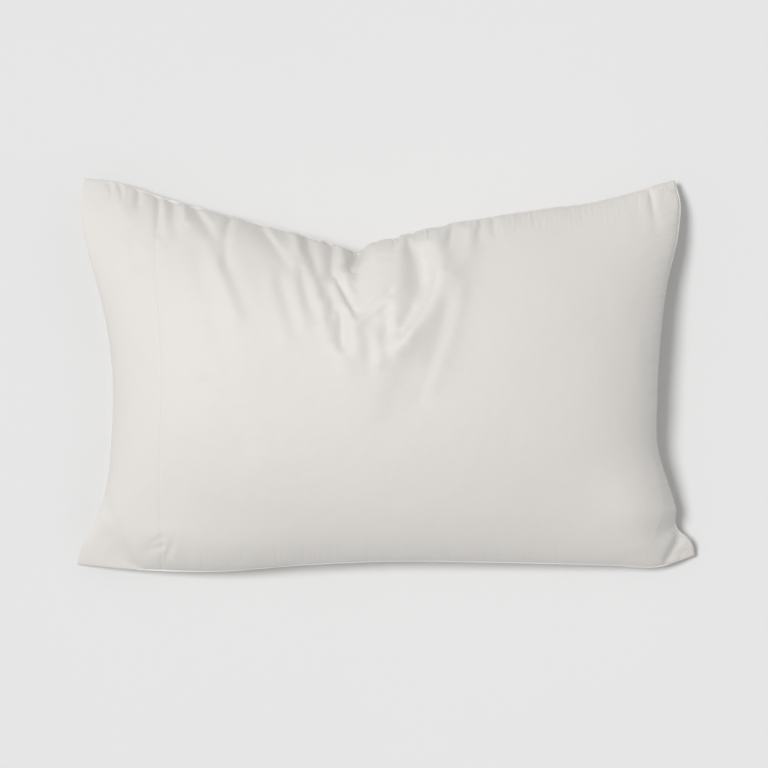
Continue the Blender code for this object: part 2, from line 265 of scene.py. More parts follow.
SEAM_GATHERS = (
    # short gathers along the upper seam, from the mouth to the dent
    Fold(-0.333, 0.232, -0.329, 0.220, 0.000, 0.003, 0.004, 1.2, 0.002, 0.0005, 1.6),
    Fold(-0.320, 0.229, -0.316, 0.216, 0.000, 0.003, 0.004, 1.2, 0.002, 0.0005, 1.6),
    Fold(-0.295, 0.223, -0.296, 0.206, 0.000, 0.005, 0.004, 1.2, 0.004, 0.002, 1.6),
    Fold(-0.273, 0.216, -0.269, 0.167, 0.000, 0.006, 0.005, 1.1, 0.004, 0.002, 1.6),
    Fold(-0.256, 0.211, -0.252, 0.178, 0.001, 0.008, 0.008, 1.2, 0.010, 0.003, 1.6),
    Fold(-0.240, 0.175, -0.256, 0.154, 0.000, 0.005, 0.005, 1.0, 0.003, 0.001, 1.5),
    Fold(-0.242, 0.205, -0.241, 0.176, 0.002, 0.006, 0.007, 1.0, -0.004, -0.002, 1.7),
    Fold(-0.234, 0.209, -0.201, 0.159, 0.000, 0.007, 0.009, 1.4, 0.014, 0.003, 1.5),
    Fold(-0.224, 0.201, -0.207, 0.182, 0.000, 0.004, 0.008, 1.2, -0.005, -0.001, 1.6),
    Fold(-0.182, 0.195, -0.187, 0.130, -0.005, 0.009, 0.007, 1.0, 0.006, 0.002, 1.6),
    Fold(-0.188, 0.130, -0.160, 0.069, 0.000, 0.008, 0.009, 1.2, 0.002, 0.0005, 1.8),
    Fold(-0.199, 0.132, -0.176, 0.070, 0.000, 0.012, 0.010, 1.0, -0.003, -0.002, 1.8),
    Fold(-0.154, 0.186, -0.118, 0.130, 0.000, 0.010, 0.007, 1.1, 0.008, 0.002, 1.6),
    Fold(-0.144, 0.182, -0.132, 0.160, 0.000, 0.005, 0.006, 1.2, -0.0035, -0.001, 1.6),
    # soft rolls in the hem and beside it
    Fold(-0.221, 0.148, -0.213, 0.100, 0.000, 0.011, 0.009, 1.0, 0.0015, 0.001, 2.0),
    Fold(-0.314, 0.200, -0.306, 0.152, 0.000, 0.014, 0.011, 1.2, -0.001, -0.002, 1.8),
    Fold(-0.309, 0.176, -0.294, 0.132, 0.000, 0.010, 0.009, 1.1, 0.0015, 0.002, 1.8),
    # faint slack folds low on the left
    Fold(-0.203, 0.064, -0.180, 0.010, 0.000, 0.012, 0.009, 1.2, 0.0010, 0.0005, 1.9),
    Fold(-0.210, -0.010, -0.160, -0.082, 0.004, 0.012, 0.008, 1.2, 0.0015, 0.0010, 1.8),
    # small puckers where the hem meets the lower seam
    Fold(-0.267, -0.194, -0.281, -0.201, 0.000, 0.004, 0.004, 1.2, 0.0010, 0.0005, 1.8),
    Fold(-0.266, -0.204, -0.288, -0.211, 0.000, 0.005, 0.004, 1.3, 0.0015, 0.0005, 1.8),
    Fold(-0.259, -0.212, -0.252, -0.198, 0.000, 0.005, 0.005, 1.2, 0.0010, 0.0005, 1.8),
    # the upper seam right of the dent
    Fold(0.126, 0.192, 0.128, 0.164, 0.000, 0.008, 0.008, 1.2, 0.004, 0.0005, 1.8),
    Fold(0.314, 0.228, 0.322, 0.166, 0.002, 0.006, 0.007, 1.2, 0.0025, 0.0005, 1.7),
)
SLACK_CORNERS = (
    # the crease above the lower open corner, and the full cloth of the upper one
    Fold(-0.337, -0.148, -0.314, -0.208, 0.000, 0.010, 0.008, 1.0, 0.0042, 0.0028, 2.0),
    Fold(-0.318, 0.206, -0.300, 0.150, 0.000, 0.014, 0.014, 1.3, -0.003, 0.000, 2.0),
    # the flat triangle of the lower open corner, and the belly that hangs over the seam beside it
    Fold(-0.336, -0.205, -0.314, -0.236, 0.000, 0.030, 0.018, 1.0, 0.016, 0.020, 2.2),
    Fold(-0.265, -0.204, -0.130, -0.210, 0.000, 0.060, 0.030, 1.0, -0.006, -0.004, 2.0),
)

# The hem's stitch line: x at each y. The stitches draw the cloth into a groove, with a pinch at
# each of them, and stop short of the seams. Each stands out in its middle and sinks in at its
# ends, by shares of the thread's radius. A ray from far off finds the cloth under it.
Station = namedtuple("Station", "y x")
HEM_LINE = (
    Station(-0.240, -0.2680),
    Station(-0.066, -0.2664),
    Station(-0.030, -0.2642),
    Station(0.030, -0.2652),
    Station(0.078, -0.2688),
    Station(0.150, -0.2740),
    Station(0.240, -0.2690),
)
HEM_GROOVE_WIDTH, HEM_GROOVE_DEPTH = 0.0018, 0.00055
HEM_PINCH, HEM_PINCH_PITCH = 0.25, 0.0036
STITCHED_TO = 0.226
STITCH_POINTS = 4
STITCH_LIFT, STITCH_SUNK = 0.9, 0.3
FAR_ABOVE, FAR_BELOW = 0.4, -0.2

# The angle from which the turned edge of the hem stays sharp, in radians.
HEM_EDGE_ANGLE = 1.0

# The cloth's spare length, as shares: all over, gathered at the seams, round the dent, at the hem.
# The lower and the closed seam are gathered less than the dented one, and the dent's spare length
# lies mostly along the case.
Spare = namedtuple("Spare", "all_over seams dent hem")
SPARE = Spare(0.004, 0.060, 0.060, 0.020)
LOWER_SEAM_SHARE, CLOSED_SEAM_SHARE, DENT_UP_SHARE = 0.6, 0.8, 0.4
GATHERED_REACH, HEM_REACH = 0.04, 0.02
DENT_MIDDLE, DENT_SIZE = (-0.01, 0.13), (0.10, 0.08)

# How the cloth settles: the draw of its first humps, with their height and their size in cells,
# its stiffness askew and in a bend, the filling's hold on it in each step, how free it is at the
# mouth, and how far a point may move in all.
SETTLING_SEED = 5
SETTLING_STEPS = 500
Hump = namedtuple("Hump", "height cells")
HUMPS = (Hump(0.0008, 7), Hump(1.5 * 0.0008, 16))
SHEAR = 0.4
BENDING = 0.05
HELD_BY_FILLING = 0.003
FREE_AT_MOUTH = 0.3
MOST_MOVED = 0.010

# The end of the pillow in its ticking, as it shows in the mouth: its rows of cells, how far it
# bulges out, and how full it stays towards the seams.
TICKING_SLOT = 1
PILLOW_END_ROWS = 9
PILLOW_BULGE = 0.018
BULGE_ROUNDNESS = 0.5

# The finishes. Threads and the scales of the noise are counted to the metre. Slubs are thick
# places of a thread, long one way and thin the other, and clouds are the cloth's uneven tone.
CLOTH_MAP = "cloth"
Finish = namedtuple("Finish", "roughness sheen threads unevenness thread_height crumple_height")
COTTON_SATEEN = Finish(0.56, 0.12, 2600, 0.05, 0.00003, 0.0006)
PILLOW_TICKING = Finish(0.75, 0.05, 1800, 0.06, 0.00005, 0.0006)
COTTON_SHINE, SHEEN_ROUGHNESS = 0.4, 0.35
SLUB_LONG, SLUB_THIN = 60, 1400
SLUB_SHARE, CLOUD_SHARE = 0.55, 0.45
CLOUD_SCALE, CLOUD_DETAIL = 9.0, 3.0
CRUMPLE_SCALE, CRUMPLE_ROUGHNESS = 55.0, 0.45
ROUGHER_BY = 1.5
SEWING_THREAD_ROUGHNESS, FLOOR_ROUGHNESS = 0.6, 0.9
MOTTLE, MOTTLE_SCALE = 0.02, 2.0

# The camera looks straight down from far away, so that perspective hardly shows. The frame is
# measured at the level of the seams. The key light comes from high over the open end. The floor
# reaches far past the picture, just under the case.
FRAME_WIDTH = 0.9216
FRAME_CENTRE = (-0.0024, -0.011)
SEAM_LEVEL = 0.035
SENSOR_WIDTH = 36
LENS = 200
FLOOR_REACH, FLOOR_LEVEL = 24.0, -0.0005
KEY_FROM = (-0.404, 0.141, 1.0)

# ----------------------------------------------------------
# Shapes: the form, the folds in it, the cloth that settles on it, and the mesh
# ----------------------------------------------------------


def smooth_through(rows, share):
    """The table's value at each share, on a smooth curve through its rows."""
    stations = np.array([row[0] for row in rows])
    values = np.array([row[1] for row in rows])
    slopes = np.gradient(values, stations)
    left = np.clip(np.searchsorted(stations, share) - 1, 0, len(stations) - 2)
    step = stations[left + 1] - stations[left]
    u = (share - stations[left]) / step
    return (
        values[left] * (1 + 2 * u) * (1 - u) ** 2
        + values[left + 1] * (3 - 2 * u) * u**2
        + step * slopes[left] * u * (1 - u) ** 2
        - step * slopes[left + 1] * (1 - u) * u**2
    )


def fading(distance, reach):
    """1 at an edge, easing to 0 at the reach."""
    return np.clip(1 - distance / reach, 0, 1) ** 2


def bow(share):
    """A full arch: 0 at both ends and 1 in the middle."""
    return (4 * np.clip(share * (1 - share), 0, 1)) ** SEAM_ROUNDNESS


def rise(share, rising):
    """One side's profile: 0 at its edge, and 1 from its reach onwards."""
    left = np.clip(1 - share / rising.reach, 0, 1)
    return (1 - left**rising.square) ** rising.roundness


def between_corners(along, up, part):
    """A value of the four corners, spread evenly over the case."""
    lower = (1 - along) * getattr(MOUTH_LOW, part) + along * getattr(CLOSED_LOW, part)
    upper = (1 - along) * getattr(MOUTH_TOP, part) + along * getattr(CLOSED_TOP, part)
    return (1 - up) * lower + up * upper


def plan(along, up):
    """Where a point of the panel lies in plan: x and y."""
    x = between_corners(along, up, "x")
    x = x + smooth_through(OPEN_END, up) * fading(along, END_REACH)
    x = x - smooth_through(CLOSED_END, up) * fading(1 - along, END_REACH)
    y = between_corners(along, up, "y")
    y = y + smooth_through(LOWER_EDGE, along) * fading(up, LOWER_REACH)
    y = y - smooth_through(UPPER_EDGE, along) * fading(1 - up, UPPER_REACH)
    return x, y


def seam_height(along, up):
    """Height of the surface that the seams lie on."""
    bowed_along, bowed_up = bow(along), bow(up)
    seam = (1 - up) * SEAM_RISE.lower * bowed_along + up * SEAM_RISE.upper * bowed_along
    ends = (1 - along) * SEAM_RISE.open_end * bowed_up + along * SEAM_RISE.closed_end * bowed_up
    lifted = seam * (1 - bowed_up * LEVEL_IN_THE_MIDDLE)
    return between_corners(along, up, "height") + ends + lifted


def across_fold(fold, x, y):
    """Each point's share along a fold, and how far to its side and beyond its ends it lies."""
    run = np.array([fold.to_x - fold.x, fold.to_y - fold.y])
    length = np.hypot(*run)
    ahead = ((x - fold.x) * run[0] + (y - fold.y) * run[1]) / length**2
    sideways = ((y - fold.y) * run[0] - (x - fold.x) * run[1]) / length
    share = np.clip(ahead, 0, 1)
    sideways = sideways - fold.bow * 4 * share * (1 - share)
    return share, sideways, (ahead - share) * length


def folds_at(folds, x, y):
    """Total depth of the folds."""
    total = np.zeros_like(x)
    for fold in folds:
        share, sideways, beyond = across_fold(fold, x, y)
        spread = 1 + share * (fold.spread - 1)
        across = sideways / (np.where(sideways > 0, fold.right, fold.left) * spread)
        past = beyond / ((fold.left + fold.right) / 2 * spread)
        off = np.sqrt(across**2 + past**2 + ROUNDED_CREST**2)
        depth = fold.depth + share * (fold.to_depth - fold.depth)
        total += depth * np.exp(ROUNDED_CREST**fold.crispness - off**fold.crispness)
    return total


def pressed_in(depth, raised):
    """How far a fold really sinks: never to the seams, and near them it fades out."""
    room = np.clip(raised, 1e-5, None) * DEEPEST_FOLD
    sunk = room * (1 - np.exp(-np.clip(depth, 0, None) / room))
    return np.where(depth > 0, sunk, depth * (1 - np.exp(-room / RIDGE_ROOM)))


def corner_fullness(x, y):
    """1 over the filling, and little beyond the tuck of the lower closed corner."""
    run_x, run_y = CORNER_TUCK.to_x - CORNER_TUCK.x, CORNER_TUCK.to_y - CORNER_TUCK.y
    beyond = ((y - CORNER_TUCK.y) * run_x - (x - CORNER_TUCK.x) * run_y) / np.hypot(run_x, run_y)
    inside = (1 - np.tanh(beyond / CORNER_TUCK.softness)) / 2
    return CORNER_TUCK.left_over + (1 - CORNER_TUCK.left_over) * inside


def swell(x, y, full):
    """Extra height of the filling that the tuck pushes back."""
    off_centre = np.hypot(x - CORNER_SWELL.x, y - CORNER_SWELL.y) / CORNER_SWELL.radius
    whole = np.clip(full / CORNER_SWELL.whole_from, 0, 1)
    return CORNER_SWELL.height * np.exp(-off_centre**2) * whole


def half_gap(along, up):
    """Half the distance between the hems, fading out along the case."""
    width = np.clip(np.sin(np.pi * np.clip(up, 0, 1)), 0, 1) ** MOUTH_SHARPNESS
    return MOUTH_GAP / 2 * width * fading(along, GAP_CLOSES / FLAT_LENGTH)


def crown(along, up, closed_end):
    """The filling's share of its full thickness: nothing in the pressed lip of the sewn seams."""
    lip_up, lip_along = SEAM_LIP / FLAT_WIDTH, SEAM_LIP / FLAT_LENGTH
    up = np.clip((up - lip_up) / (1 - 2 * lip_up), 0, 1)
    along = np.clip(along / (1 - lip_along), 0, 1)
    along_the_case = rise(along, OPEN_END_RISING) * rise(1 - along, closed_end)
    flatter = FLATTER_AT_MOUTH * fading(along, FLATTER_REACH)
    lower = LOWER_RISING._replace(roundness=LOWER_RISING.roundness + flatter)
    upper = UPPER_RISING._replace(roundness=UPPER_RISING.roundness + flatter)
    return along_the_case * rise(up, lower) * rise(1 - up, upper)


def case_point(along, up, face):
    """Points of the face panel where face is FACE, and of the back panel elsewhere."""
    x, y = plan(along, up)
    full = crown(along, up, BACK_END_RISING)
    face_full = crown(along, up, FACE_END_RISING)
    middle = seam_height(along, up)
    raised = (FACE_CROWN * face_full + swell(x, y, full)) * corner_fullness(x, y)
    raised = raised - pressed_in(folds_at(HOLLOW + SLACK_CORNERS, x, y), raised)
    creases = folds_at(DENT_FOLDS + SEAM_GATHERS, x, y)
    raised = raised - pressed_in(creases, raised + FOLD_ROOM * full)
    top = middle + SEAM / 2 + half_gap(along, up) + raised
    low = middle - SEAM / 2 - half_gap(along, up) - BACK_CROWN * full
    landing = np.clip(low + SOFT_LANDING, 0, 2 * SOFT_LANDING)
    low = np.where(low < SOFT_LANDING, landing**2 / (4 * SOFT_LANDING), low)
    return np.stack([x, y, np.where(face > 0.5, top, low)], axis=-1)


def spaced(share):
    """Grid shares, closer together at both edges, where the cloth is steepest."""
    return (1 - CLOSER_AT_EDGES) * share + CLOSER_AT_EDGES * (1 - np.cos(np.pi * share)) / 2


def outward(along, up, face):
    """The panel's outward normal, from short steps across it."""
    on_along = case_point(along + NORMAL_STEP, up, face) - case_point(along, up, face)
    on_up = case_point(along, up + NORMAL_STEP, face) - case_point(along, up - NORMAL_STEP, face)
    normal = np.cross(on_along, on_up) * np.where(face > 0.5, 1, -1)[..., None]
    return normal / np.linalg.norm(normal, axis=-1, keepdims=True)


def hem_stitching(x, y):
    """How far the row of stitches draws the cloth in: a groove with a pinch at each stitch."""
    off = (x - smooth_through(HEM_LINE, y)) / HEM_GROOVE_WIDTH
    pinch = 1 + HEM_PINCH * np.cos(2 * np.pi * y / HEM_PINCH_PITCH)
    return -HEM_GROOVE_DEPTH * pinch * np.exp(-(off**2))


def spot(x, y, place, size):
    """1 at a place, fading out round it."""
    return np.exp(-(((x - place[0]) / size[0]) ** 2) - ((y - place[1]) / size[1]) ** 2)


def spare_cloth(along, up, x, y, face):
    """The share by which the cloth is longer than the form it lies on, along and up."""
    near_lower = np.exp(-((up * FLAT_WIDTH / GATHERED_REACH) ** 2))
    near_upper = np.exp(-(((1 - up) * FLAT_WIDTH / GATHERED_REACH) ** 2))
    near_closed = np.exp(-(((1 - along) * FLAT_LENGTH / GATHERED_REACH) ** 2))
    near_hem = np.exp(-(((x - HEM_LINE[0].x) / HEM_REACH) ** 2))
    dent = spot(x, y, DENT_MIDDLE, DENT_SIZE) * face
    gathered = SPARE.seams * (LOWER_SEAM_SHARE * near_lower + near_upper)
    spare_along = SPARE.all_over + gathered + SPARE.dent * dent
    spare_up = SPARE.all_over + CLOSED_SEAM_SHARE * SPARE.seams * near_closed + SPARE.hem * near_hem
    return spare_along, spare_up + DENT_UP_SHARE * SPARE.dent * dent


def unevenness(shape, cell, draw):
    """Smooth random values over a grid, about one hump in each cell."""
    rows, columns = (np.arange(size) / cell for size in shape)
    values = draw.standard_normal((int(rows[-1]) + 2, int(columns[-1]) + 2))
    row, column = rows.astype(int), columns.astype(int)
    on_row, on_column = ((t % 1) ** 2 * (3 - 2 * (t % 1)) for t in (rows, columns))
    on_row, on_column = on_row[:, None], on_column[None]
    first = values[row][:, column] * (1 - on_column) + values[row][:, column + 1] * on_column
    second = values[row + 1][:, column] * (1 - on_column) + values[row + 1][:, column + 1] * on_column
    return first * (1 - on_row) + second * on_row


def pulled(cloth, free, one, other, length, stiffness):
    """Moves the two ends of each thread towards the thread's own length."""
    ends = cloth[one], cloth[other]
    shares = free[one], free[other]
    apart = ends[1] - ends[0]
    now = np.sqrt((apart * apart).sum(-1, keepdims=True))
    move = stiffness * (1 - length[..., None] / now) * apart / np.maximum(shares[0] + shares[1], 1e-9)
    cloth[one] = ends[0] + move * shares[0]
    cloth[other] = ends[1] - move * shares[1]


def sewn_threads(form, spare_along, spare_up):
    """The cloth's threads and diagonals: sets of their two ends, their own length and stiffness.
    In a set no two share an end, so all of them can be pulled at once."""
    rows, columns = form.shape[:2]
    every = slice(None)

    def spans(count, start):
        return slice(start, count - 1, 2), slice(start + 1, count, 2)

    def length(one, other):
        return np.linalg.norm(form[other] - form[one], axis=-1)

    threads = []
    stretch_along = 1 + (spare_along[:, :-1] + spare_along[:, 1:]) / 2
    stretch_up = 1 + (spare_up[:-1] + spare_up[1:]) / 2
    for start in (0, 1):
        left, right = spans(columns, start)
        one, other = (every, left), (every, right)
        threads.append((one, other, length(one, other) * stretch_along[:, left], 1.0))
        low, high = spans(rows, start)
        one, other = (low, every), (high, every)
        threads.append((one, other, length(one, other) * stretch_up[low], 1.0))
    here, above = slice(0, rows - 1), slice(1, rows)
    for start in (0, 1):
        left, right = spans(columns, start)
        wide = length((here, left), (here, right)) ** 2 * (stretch_along[here, left] ** 2 - 1)
        tall = length((here, left), (above, left)) ** 2 * (stretch_up[here, left] ** 2 - 1)
        for one, other in (((here, left), (above, right)), ((here, right), (above, left))):
            longer = np.sqrt(length(one, other) ** 2 + (wide + tall))
            threads.append((one, other, longer, SHEAR))
    return threads


def bent_along(cloth):
    """How sharply the cloth bends at each point, along the case."""
    return cloth[:, :-2] - 2 * cloth[:, 1:-1] + cloth[:, 2:]


def bent_up(cloth):
    """How sharply the cloth bends at each point, up the case."""
    return cloth[:-2] - 2 * cloth[1:-1] + cloth[2:]


def settled(form, normal, threads, free, humps):
    """Cloth a little larger than the form it is sewn round, left to find its own creases. Threads
    keep their length, the cloth resists sharp bends, and the filling holds it to the form."""
    own_bend_along, own_bend_up = bent_along(form), bent_up(form)
    cloth = form + normal * humps[..., None] * free
    for _ in range(SETTLING_STEPS):
        for one, other, length, stiffness in threads:
            pulled(cloth, free, one, other, length, stiffness)
        bend = bent_along(cloth) - own_bend_along
        cloth[:, 1:-1] += BENDING / 2 * bend * free[:, 1:-1]
        bend = bent_up(cloth) - own_bend_up
        cloth[1:-1] += BENDING / 2 * bend * free[1:-1]
        off = ((cloth - form) * normal).sum(-1, keepdims=True)
        cloth -= HELD_BY_FILLING * off * normal * free
    moved = cloth - form
    far = np.linalg.norm(moved, axis=-1, keepdims=True)
    return moved * np.minimum(1, MOST_MOVED / np.maximum(far, 1e-9))


def panel_moves(shares_along, shares_up, face):
    """How far each grid point of a panel settles."""
    along, up = np.meshgrid(shares_along, shares_up)
    which = np.full_like(along, face)
    form = case_point(along, up, which)
    normal = outward(along, up, which)
    threads = sewn_threads(form, *spare_cloth(along, up, form[..., 0], form[..., 1], face))
    free = np.ones((*along.shape, 1))
    free[0] = free[-1] = free[:, -1] = 0
    free[:, 0] = FREE_AT_MOUTH
    draw = np.random.default_rng(SETTLING_SEED + face)
    humps = sum(hump.height * unevenness(along.shape, hump.cells, draw) for hump in HUMPS)
    return settled(form, normal, threads, free, humps)


def spread_out(values, shares_along, shares_up, along, up):
    """Grid values at any points of the panel."""
    column = np.interp(along, shares_along, np.arange(len(shares_along)))
    row = np.interp(up, shares_up, np.arange(len(shares_up)))
    left = np.minimum(column.astype(int), len(shares_along) - 2)
    low = np.minimum(row.astype(int), len(shares_up) - 2)
    right, high = (column - left)[:, None], (row - low)[:, None]
    lower = values[low, left] * (1 - right) + values[low, left + 1] * right
    upper = values[low + 1, left] * (1 - right) + values[low + 1, left + 1] * right
    return lower * (1 - high) + upper * high


def unit_slab(columns, rows):
    """A closed slab of grid cells, 1 by 1 by 1, finer on its face than on its back."""
    shape = bmesh.new()
    bmesh.ops.create_grid(shape, x_segments=columns, y_segments=rows, size=0.5)
    bmesh.ops.translate(shape, verts=shape.verts, vec=(0.5, 0.5, 0))
    for vertex in shape.verts:
        vertex.co.x, vertex.co.y = spaced(vertex.co.x), spaced(vertex.co.y)
    raised = bmesh.ops.extrude_face_region(shape, geom=shape.faces[:], use_keep_orig=True)
    bmesh.ops.translate(shape, verts=points_of(raised), vec=(0, 0, FACE_LEVEL - BACK_LEVEL))
    push_in_the_mouth(shape)
    on_face = [e for e in shape.edges if all(v.co.z > INNER_FACE_LEVEL for v in e.verts)]
    bmesh.ops.subdivide_edges(shape, edges=on_face, cuts=1, use_grid_fill=True)
    bmesh.ops.recalc_face_normals(shape, faces=shape.faces)
    return shape


def points_of(result):
    """The points among what a mesh operation made."""
    return [item for item in result["geom"] if isinstance(item, bmesh.types.BMVert)]


def push_in_the_mouth(shape):
    """Pushes the slab's wall at the open end in, between the hems, as far as the pillow."""
    wall = [
        face
        for face in shape.faces
        if all(vertex.co.x < TOUCHING for vertex in face.verts)
        and MOUTH_FROM < face.calc_center_median().y < MOUTH_TO
    ]
    for step in range(MOUTH_STEPS + 1):
        pushed = bmesh.ops.extrude_face_region(shape, geom=wall)
        bmesh.ops.delete(shape, geom=wall, context="FACES")
        wall = [item for item in pushed["geom"] if isinstance(item, bmesh.types.BMFace)]
        for vertex in points_of(pushed):
            bend = (2 * vertex.co.y - 1) ** 2
            depth = (1 - bend) * PILLOW_END + bend * PILLOW_END_AT_SEAMS
            vertex.co.x = depth / FLAT_LENGTH * step / MOUTH_STEPS
            vertex.co.z = (INNER_BACK_LEVEL, INNER_FACE_LEVEL)[round(vertex.co.z)]
    for face in wall:
        face.material_index = TICKING_SLOT
    ends = set(wall)
    upright = [e for e in shape.edges if is_upright(e) and ends.intersection(e.link_faces)]
    bmesh.ops.subdivide_edges(shape, edges=upright, cuts=PILLOW_END_ROWS, use_grid_fill=True)


def is_upright(edge):
    """Whether an edge of the slab runs from one hem to the other."""
    return abs(edge.verts[0].co.z - edge.verts[1].co.z) > TOUCHING


def slab_point(along, up, level):
    """Where a point of the unit slab lies on the case. Its lowest and highest levels are the back
    and the face, the next ones the inner sides of the hems, and between them is the pillow."""
    sides = []
    for face, own_level in ((BACK, BACK_LEVEL), (FACE, FACE_LEVEL)):
        own = level == own_level
        shares_along, shares_up = np.unique(along[own]), np.unique(up[own])
        moves = 0
        moves = panel_moves(shares_along, shares_up, face)
        moves = spread_out(moves, shares_along, shares_up, along, up)
        which = np.full_like(along, face)
        normal = outward(along, up, which)
        outer = case_point(along, up, which) + moves
        outer = outer + normal * hem_stitching(outer[:, 0], outer[:, 1])[:, None]
        outer[:, 2] = np.maximum(outer[:, 2], 0)
        sides.append((outer, outer - normal * HEM_THICKNESS))
    (back, inner_back), (front, inner_front) = sides
    share = (level - INNER_BACK_LEVEL) / (INNER_FACE_LEVEL - INNER_BACK_LEVEL)
    share = np.clip(share, 0, 1)[:, None]
    pocket = inner_back * (1 - share) + inner_front * share
    rounded = np.sin(np.pi * np.clip(up, 0, 1)) ** BULGE_ROUNDNESS
    bulge = (1 - (2 * share[:, 0] - 1) ** 2) * rounded
    pocket[:, 0] -= PILLOW_BULGE * bulge
    on_face, on_back = (level >= FACE_LEVEL)[:, None], (level <= BACK_LEVEL)[:, None]
    return np.where(on_face, front, np.where(on_back, back, pocket))


def filled_case(sizes):
    """The case and the end of the pillow in it, as one closed mesh."""
    shape = unit_slab(sizes.columns, sizes.rows)
    mesh = bpy.data.meshes.new("filled_case")
    shape.to_mesh(mesh)
    shape.free()
    unit = np.empty(len(mesh.vertices) * 3)
    mesh.vertices.foreach_get("co", unit)
    along, up, level = unit.reshape(-1, 3).T
    lay_cloth_map(mesh, along, up)
    points = slab_point(along, up, level)
    low, high = np.array(CAD_BOX)
    middle = (points.min(axis=0) + points.max(axis=0)) / 2 - (low + high) / 2
    points -= middle * (1, 1, 0)
    mesh.vertices.foreach_set("co", points.ravel())
    mesh.update()
    mesh.shade_smooth()
    mesh.set_sharp_from_angle(angle=HEM_EDGE_ANGLE)
    case = bpy.data.objects.new("filled_case", mesh)
    bpy.context.scene.collection.objects.link(case)
    return case


def lay_cloth_map(mesh, along, up):
    """A map in metres of flat cloth, so that the weave keeps its size and runs with the seams."""
    corners = np.empty(len(mesh.loops), dtype=np.int32)
    mesh.loops.foreach_get("vertex_index", corners)
    flat = np.stack([along * FLAT_LENGTH, up * FLAT_WIDTH], axis=-1)
    layer = mesh.uv_layers.new(name=CLOTH_MAP)
    layer.uv.foreach_set("vector", flat[corners].ravel().astype(np.float32))


def stitch_runs(sizes, face):
    """Each stitch of the hem as a few points over the cloth."""
    case = bpy.data.objects["filled_case"]
    height, down = (FAR_ABOVE, Vector((0, 0, -1))) if face else (FAR_BELOW, Vector((0, 0, 1)))
    start = -STITCHED_TO
    while start < STITCHED_TO:
        ys = np.linspace(start, start + sizes.stitch_length, STITCH_POINTS)
        run = []
        for share, x, y in zip(np.linspace(0, 1, STITCH_POINTS), smooth_through(HEM_LINE, ys), ys):
            hit, place, normal, _ = case.ray_cast(Vector((x, y, height)), down)
            if hit:
                lift = sizes.thread * (STITCH_LIFT * np.sin(np.pi * share) - STITCH_SUNK)
                run.append(place + normal * lift)
        if len(run) == STITCH_POINTS:
            yield run
        start += sizes.stitch_pitch


# ----------------------------------------------------------
# Finishes
# ----------------------------------------------------------


def node(tree, kind, **settings):
    """A node of the tree with its settings."""
    made = tree.nodes.new(kind)
    for name, value in settings.items():
        setattr(made, name, value)
    return made


def math(tree, operation, first, second=0.0, clamp=False):
    """One sum: a number or a socket on either side."""
    made = node(tree, "ShaderNodeMath", operation=operation, use_clamp=clamp)
    for socket, value in zip(made.inputs, (first, second)):
        if isinstance(value, (int, float)):
            socket.default_value = value
        else:
            tree.links.new(value, socket)
    return made.outputs[0]


def noise(tree, place, scale, detail):
    """Soft random values over a place."""
    made = node(tree, "ShaderNodeTexNoise")
    made.inputs["Scale"].default_value = scale
    made.inputs["Detail"].default_value = detail
    tree.links.new(place, made.inputs["Vector"])
    return made


def brightened(tree, colour, bright):
    """The colour, lighter or darker by a factor."""
    shade = node(tree, "ShaderNodeVectorMath", operation="SCALE")
    if isinstance(colour, bpy.types.NodeSocket):
        tree.links.new(colour, shade.inputs[0])
    else:
        shade.inputs[0].default_value = colour
    tree.links.new(bright, shade.inputs["Scale"])
    return shade.outputs[0]


def new_group(name, inputs, outputs):
    """An empty shader group with named sockets."""
    group = bpy.data.node_groups.new(name, "ShaderNodeTree")
    for label, kind, value in inputs:
        socket = group.interface.new_socket(label, in_out="INPUT", socket_type=kind)
        if value is not None:
            socket.default_value = value
    for label, kind in outputs:
        group.interface.new_socket(label, in_out="OUTPUT", socket_type=kind)
    return group, node(group, "NodeGroupInput"), node(group, "NodeGroupOutput")


